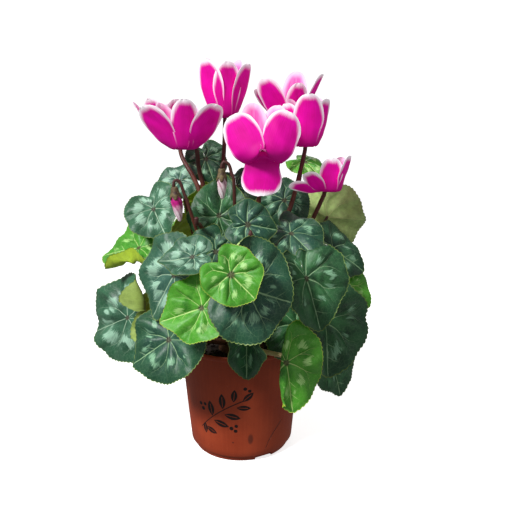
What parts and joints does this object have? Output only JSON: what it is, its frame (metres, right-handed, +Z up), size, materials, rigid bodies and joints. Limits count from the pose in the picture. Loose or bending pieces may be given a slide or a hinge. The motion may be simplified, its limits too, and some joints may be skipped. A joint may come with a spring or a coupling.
{
  "type": "potted cyclamen",
  "caption": "Florist's cyclamen in flower: heart-shaped marbled leaves and swept-back petals on bare stalks over a plain round nursery pot.",
  "frame": {"origin": "middle of the pot's underside", "axes": "+Z up; the plant's fullest side faces -Y, with +X to its right"},
  "size_m": [0.2493, 0.2411, 0.339],
  "materials": {
    "pot": "satin terracotta-coloured plastic",
    "soil": "damp peat and bark crumbs",
    "stalk": "smooth red-brown stalks, corky tuber",
    "leaf_dark": "dark green blade with pale marbling, satin",
    "leaf_silver": "silver green blade, satin",
    "leaf_young": "bright green blade with pale veins, satin",
    "petal": "magenta petal with a white edge, soft sheen",
    "bud": "pink and white rolled petals"
  },
  "bodies": {
    "root": {"pot": "pot", "soil": "soil", "tuber_and_stalks": "stalk", "leaf_right_underside": "leaf_dark", "leaf_top_left": "leaf_dark", "leaf_top_middle": "leaf_dark", "leaf_top_right": "leaf_dark", "leaf_middle_right": "leaf_dark", "leaf_upper_left": "leaf_silver", "leaf_upright": "leaf_dark", "leaf_left_folded": "leaf_silver", "leaf_left_rolled": "leaf_young", "leaf_far_left": "leaf_silver", "leaf_right_inner": "leaf_dark", "leaf_right_broad": "leaf_dark", "leaf_right_small": "leaf_young", "leaf_low_right": "leaf_dark", "leaf_shaded_right": "leaf_dark", "leaf_right_long": "leaf_dark", "leaf_middle_curled": "leaf_dark", "leaf_middle": "leaf_dark", "leaf_low_left": "leaf_dark", "leaf_front_tongue": "leaf_dark", "leaf_left_silver": "leaf_silver", "leaf_left_round": "leaf_silver", "leaf_front_left": "leaf_young", "leaf_front_kidney": "leaf_young", "leaf_front_right": "leaf_dark", "leaf_front_large": "leaf_dark", "leaf_front_young": "leaf_young", "leaf_back_low_1": "leaf_dark", "leaf_back_low_2": "leaf_silver", "leaf_back_low_3": "leaf_dark", "leaf_back_low_4": "leaf_young", "leaf_back_mid_1": "leaf_silver", "leaf_back_mid_2": "leaf_dark", "leaf_back_mid_3": "leaf_young", "leaf_back_high_1": "leaf_dark", "leaf_back_high_2": "leaf_young", "flower_left": "petal", "flower_left_behind": "petal", "flower_top": "petal", "flower_front": "petal", "flower_right": "petal", "flower_right_behind": "petal", "flower_half_open": "petal", "bud_left": "bud", "bud_middle": "bud"}
  },
  "joints": []
}
